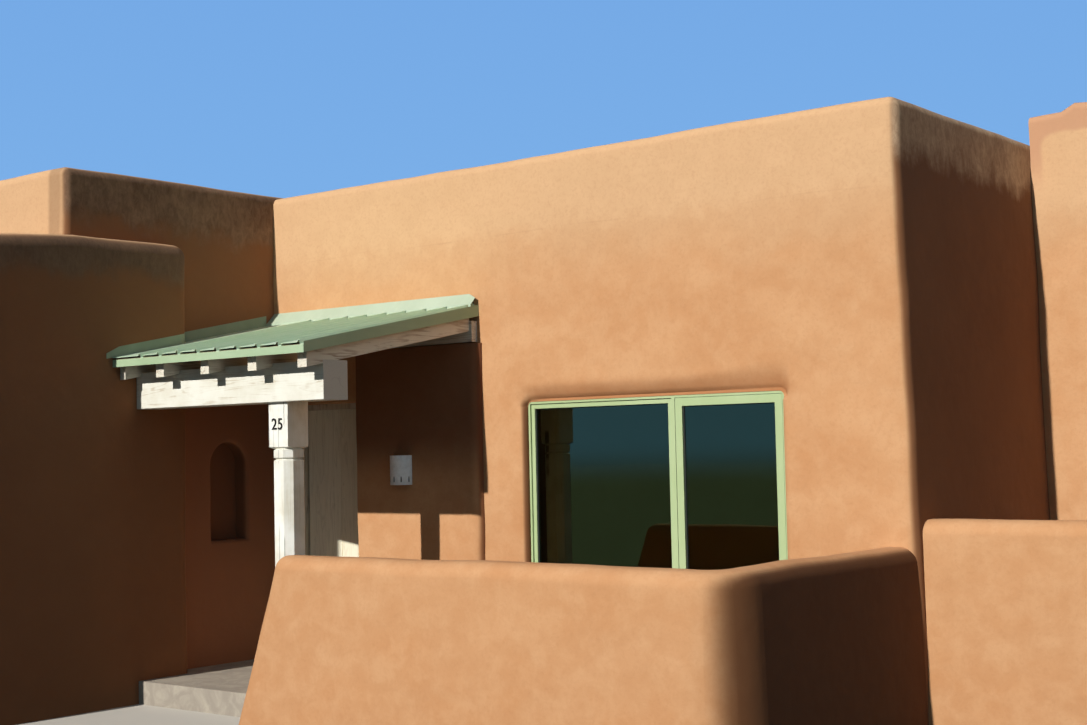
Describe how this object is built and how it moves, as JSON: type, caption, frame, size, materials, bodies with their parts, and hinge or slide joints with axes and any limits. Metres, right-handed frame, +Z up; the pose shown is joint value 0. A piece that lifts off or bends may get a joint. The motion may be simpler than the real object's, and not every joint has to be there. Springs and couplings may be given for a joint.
{
  "type": "adobe house",
  "caption": "Flat-roofed adobe house with rounded parapets, stepped wings, a ribbed metal porch roof on a timber post and beam, a plank door that opens, and low walls.",
  "frame": {"origin": "on the ground, at the middle of the house's bounding box", "axes": "+Z up, +Y from the front with the door and window to the back, +X to the right seen from the front"},
  "size_m": [13.2, 9.5, 4.487],
  "materials": {
    "stucco": "rough lime and earth plaster, warm peach",
    "stucco_dark": "rough earth plaster, brown",
    "timber": "weathered sawn timber",
    "whitewash": "whitewashed timber",
    "roof_metal": "pale green enamel",
    "trim_metal": "light green enamel",
    "frame_metal": "pale green enamel",
    "pane": "clear glazing",
    "lamp_shell": "unglazed white",
    "iron": "dark satin",
    "slab": "trowelled screed"
  },
  "bodies": {
    "house": {"back_wall": "stucco", "casement": "frame_metal", "door_frame": "timber", "door_header": "stucco", "door_threshold": "timber", "eave_trim": "trim_metal", "entry_facing": "stucco", "fixed_light": "frame_metal", "frame_hinges": "iron", "front_wall": "stucco", "garden_wall": "stucco", "lamp": "lamp_shell", "left_floor": "slab", "left_front_wall": "stucco", "left_outer_wall": "stucco", "left_roof": "slab", "left_side_wall": "stucco_dark", "main_floor": "slab", "main_roof": "slab", "metal_roof": "roof_metal", "niche_surround": "stucco_dark", "porch_beam": "whitewash", "porch_floor": "slab", "porch_ledger": "timber", "porch_post": "whitewash", "porch_rafters": "timber", "right_back_wall": "stucco", "right_floor": "slab", "right_front_wall": "stucco", "right_outer_wall": "stucco", "right_roof": "slab", "roof_boards": "timber", "side_flashing": "trim_metal", "side_wall": "stucco_dark", "store_buttress": "stucco_dark", "store_front_wall": "stucco_dark", "store_left_wall": "stucco_dark", "store_roof": "slab", "store_side_wall": "stucco_dark", "verge_trim": "trim_metal", "wall_flashing": "trim_metal", "window_frame": "frame_metal", "window_glass": "pane", "wing_upstand": "stucco", "yard_wall_front": "stucco", "yard_wall_side": "stucco"},
    "door": {"door_leaf": "whitewash", "leaf_hinges": "iron", "door_handle": "iron"}
  },
  "joints": [
    {"name": "door_hinge", "type": "hinge", "parent": "house", "child": "door", "pos_m": [-3.005, -0.903, 0], "axis": [0, 0, 1], "range_deg": [-25, 65]}
  ]
}
